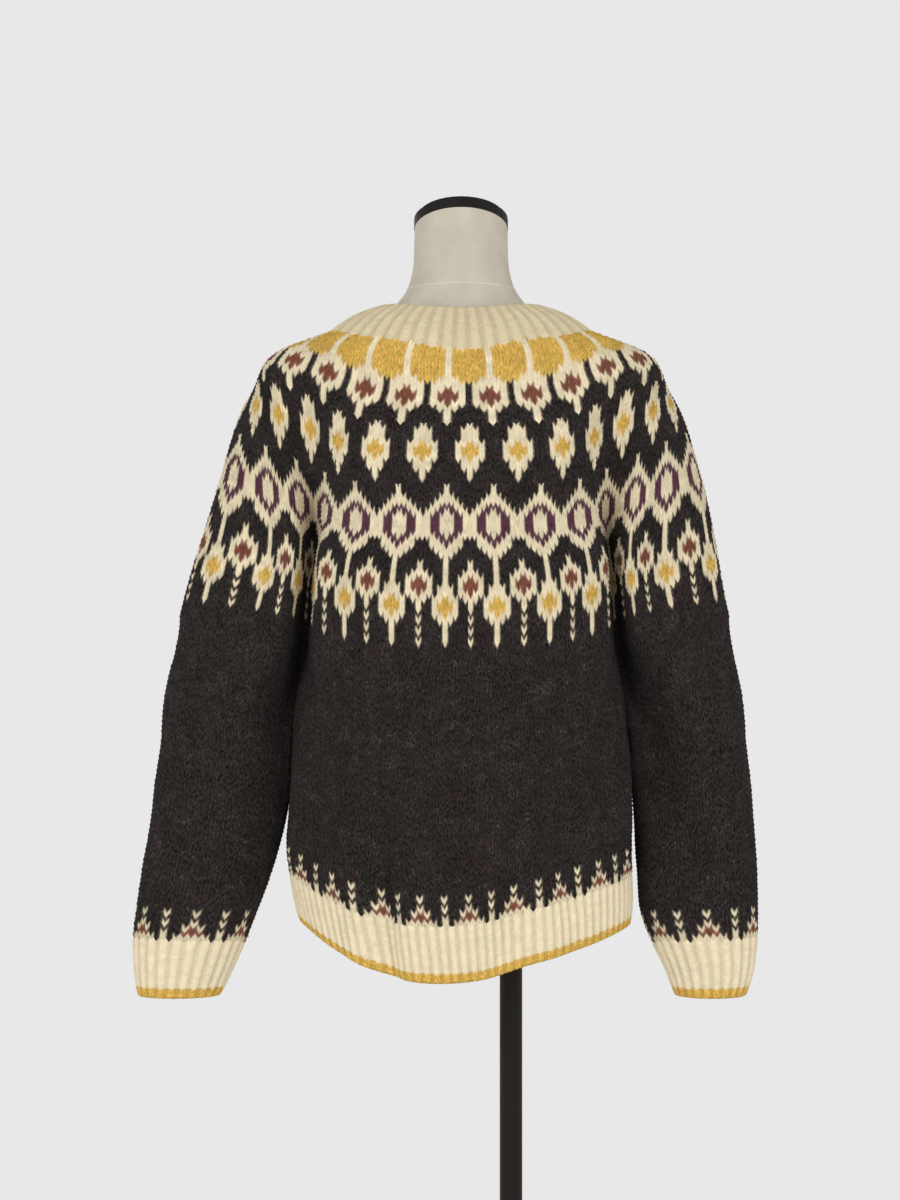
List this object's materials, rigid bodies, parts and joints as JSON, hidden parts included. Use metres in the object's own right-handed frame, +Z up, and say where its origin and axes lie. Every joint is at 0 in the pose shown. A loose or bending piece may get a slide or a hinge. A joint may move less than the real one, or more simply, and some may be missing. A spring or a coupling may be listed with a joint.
{
  "type": "nordic cardigan on a dress form stand",
  "caption": "Round-yoke knitted wool cardigan with long sleeves, ribbed edges and a buttoned front, worn by a limbless dress form on a pole and round base.",
  "frame": {"origin": "on the floor under the middle of the form's neck, in the plane of the base's underside", "axes": "+Z up, -Y the wearer's front with the buttons, +Y the wearer's back, +X the wearer's left"},
  "size_m": [0.6239, 0.32, 1.4752],
  "materials": {
    "charcoal_wool": "thick heathered wool knit, slightly hairy",
    "cream_wool": "thick cream wool rib",
    "button_horn": "satin dark horn",
    "form_cover": "beige linen cover",
    "cap_black": "black matte cap",
    "stand_black": "near-black paint"
  },
  "bodies": {
    "root": {"yoke": "charcoal_wool", "body": "charcoal_wool", "sleeve_left": "charcoal_wool", "sleeve_right": "charcoal_wool", "hem_rib": "cream_wool", "cuff_left": "cream_wool", "cuff_right": "cream_wool", "neckband": "cream_wool", "band_left": "cream_wool", "band_right": "cream_wool", "button_1": "button_horn", "button_2": "button_horn", "button_3": "button_horn", "button_4": "button_horn", "button_5": "button_horn", "button_6": "button_horn", "button_7": "button_horn", "form_torso": "form_cover", "form_cap": "cap_black", "form_pole": "stand_black", "form_base": "stand_black"}
  },
  "joints": []
}
